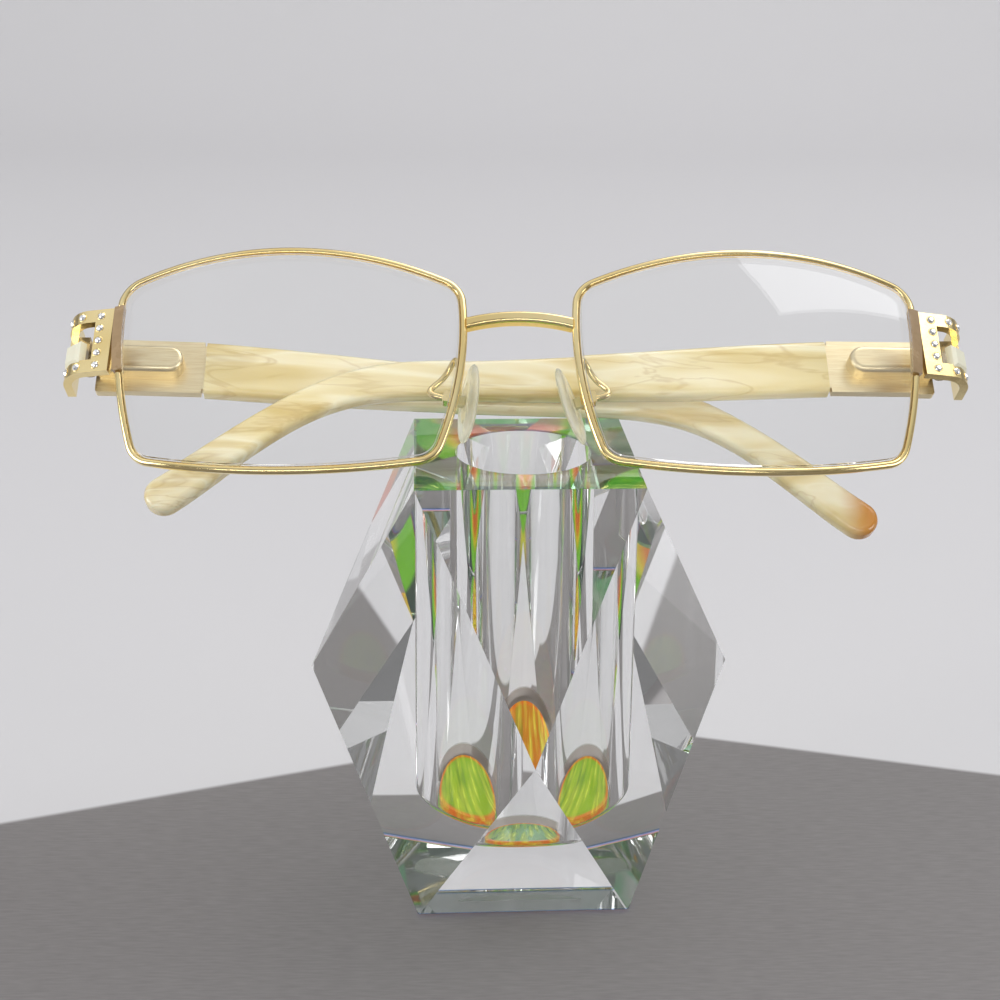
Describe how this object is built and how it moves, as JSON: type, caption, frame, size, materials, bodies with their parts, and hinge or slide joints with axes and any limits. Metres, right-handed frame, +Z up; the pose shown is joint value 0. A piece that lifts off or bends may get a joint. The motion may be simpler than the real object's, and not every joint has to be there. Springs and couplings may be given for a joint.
{
  "type": "eyeglasses display stand",
  "caption": "Folded metal-framed eyeglasses resting on a faceted crystal stand with a blind bore; the glasses lift off, temples unfold and nose pads rock.",
  "frame": {"origin": "centre of the crystal's base face, on the surface it stands on", "axes": "+X along the width of the eyeglasses, towards their right end as seen from the front; +Y to the back, away from the lens fronts; +Z up"},
  "size_m": [0.1488, 0.0706, 0.1066],
  "materials": {
    "crystal": "polished optical crystal",
    "colour_film": "colour-shifting yellow-green film",
    "polished_gold": "polished pale gold plating",
    "brushed_gold": "brushed pale gold plating",
    "tan_enamel": "tan enamel",
    "hinge_metal": "nickel silver",
    "lens_plastic": "clear demonstration lens",
    "rhinestone": "foiled faceted stone",
    "baguette_stone": "foiled step-cut stone",
    "pad_silicone": "clear silicone",
    "ivory_acetate": "marbled ivory acetate, polished"
  },
  "bodies": {
    "stand": {"crystal_block": "crystal", "colour_disc": "colour_film"},
    "front": {"bridge": "polished_gold", "rim_right": "polished_gold", "rim_left": "polished_gold", "closing_block_right": "tan_enamel", "closing_block_left": "tan_enamel", "lens_right": "lens_plastic", "lens_left": "lens_plastic", "endpiece_right": "polished_gold", "endpiece_left": "polished_gold", "stones_right": "rhinestone", "stones_left": "rhinestone", "baguette_right": "baguette_stone", "baguette_left": "baguette_stone", "hinge_leaf_right": "hinge_metal", "hinge_leaf_left": "hinge_metal", "hinge_screw_right": "hinge_metal", "hinge_screw_left": "hinge_metal", "pad_arm_right": "polished_gold", "pad_arm_left": "polished_gold", "pad_box_right": "polished_gold", "pad_box_left": "polished_gold", "pad_pin_right": "hinge_metal", "pad_pin_left": "hinge_metal"},
    "temple_right": {"temple_plate_right": "brushed_gold", "spring_housing_right": "brushed_gold", "hinge_tongue_right": "hinge_metal", "temple_arm_right": "ivory_acetate"},
    "temple_left": {"temple_plate_left": "brushed_gold", "spring_housing_left": "brushed_gold", "hinge_tongue_left": "hinge_metal", "temple_arm_left": "ivory_acetate"},
    "pad_right": {"nose_pad_right": "pad_silicone"},
    "pad_left": {"nose_pad_left": "pad_silicone"}
  },
  "joints": [
    {"name": "lift_off", "type": "slide", "parent": "stand", "child": "front", "axis": [0, 0, 1], "range_m": [0, 0.12]},
    {"name": "temple_right_fold", "type": "hinge", "parent": "front", "child": "temple_right", "pos_m": [0.0708, 0.01491, 0.08674], "axis": [0, -0.7431, -0.6691], "range_deg": [0, 104.7]},
    {"name": "temple_left_fold", "type": "hinge", "parent": "front", "child": "temple_left", "pos_m": [-0.0722, 0.01491, 0.08674], "axis": [0, 0.7431, 0.6691], "range_deg": [0, 101.1]},
    {"name": "pad_right_rock", "type": "hinge", "parent": "front", "child": "pad_right", "pos_m": [0.0099, 0.0011, 0.08415], "axis": [0, -0.766, 0.6428], "range_deg": [-10, 6]},
    {"name": "pad_left_rock", "type": "hinge", "parent": "front", "child": "pad_left", "pos_m": [-0.0113, 0.0011, 0.08415], "axis": [0, -0.766, 0.6428], "range_deg": [-6, 10]}
  ]
}
